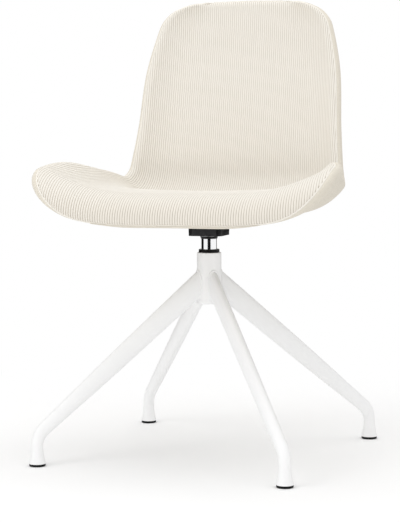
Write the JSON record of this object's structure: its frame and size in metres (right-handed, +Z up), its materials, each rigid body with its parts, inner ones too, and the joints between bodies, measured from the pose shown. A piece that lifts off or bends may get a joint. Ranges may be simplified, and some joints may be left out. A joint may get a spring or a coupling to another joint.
{
  "type": "swivel dining chair",
  "caption": "Upholstered one-piece bucket seat and back with ribbed front cover, free to swivel on a short chromed spindle over a splayed steel base with round glides.",
  "frame": {"origin": "on the floor, under the swivel axis", "axes": "+Z up along the swivel axis, the seat faces -Y at rest, +X to the sitter's left"},
  "size_m": [0.5472, 0.5579, 0.8317],
  "materials": {
    "frame": "satin white powder coat",
    "glide": "matt",
    "bush": "satin",
    "steel": "zinc plated",
    "chrome": "polished",
    "bracket": "black",
    "core": "moulded",
    "plain_fabric": "plain weave",
    "ribbed_fabric": "ribbed corduroy"
  },
  "bodies": {
    "base": {"hub_tube": "frame", "leg_front_left": "frame", "leg_front_right": "frame", "leg_rear_left": "frame", "leg_rear_right": "frame", "glide_front_left": "glide", "glide_front_right": "glide", "glide_rear_left": "glide", "glide_rear_right": "glide", "upper_bush": "bush", "lower_bush": "bush", "thrust_washer_lower": "steel", "ball_cage": "bush", "thrust_balls": "steel", "hub_plug": "bush"},
    "seat": {"thrust_washer_upper": "steel", "spindle": "chrome", "dust_collar": "bush", "collar_washer": "steel", "retaining_washer": "steel", "retaining_bolt": "steel", "seat_bracket": "bracket", "spindle_grub_screw": "steel", "bracket_bolts": "steel", "bracket_washers": "steel", "spacers": "bush", "tee_nuts": "steel", "shell_core": "core", "rear_cover": "plain_fabric", "seat_pad": "ribbed_fabric"}
  },
  "joints": [
    {"name": "seat_swivel", "type": "hinge", "parent": "base", "child": "seat", "pos_m": [0, 0, 0.3], "axis": [0, 0, 1], "continuous": true}
  ]
}
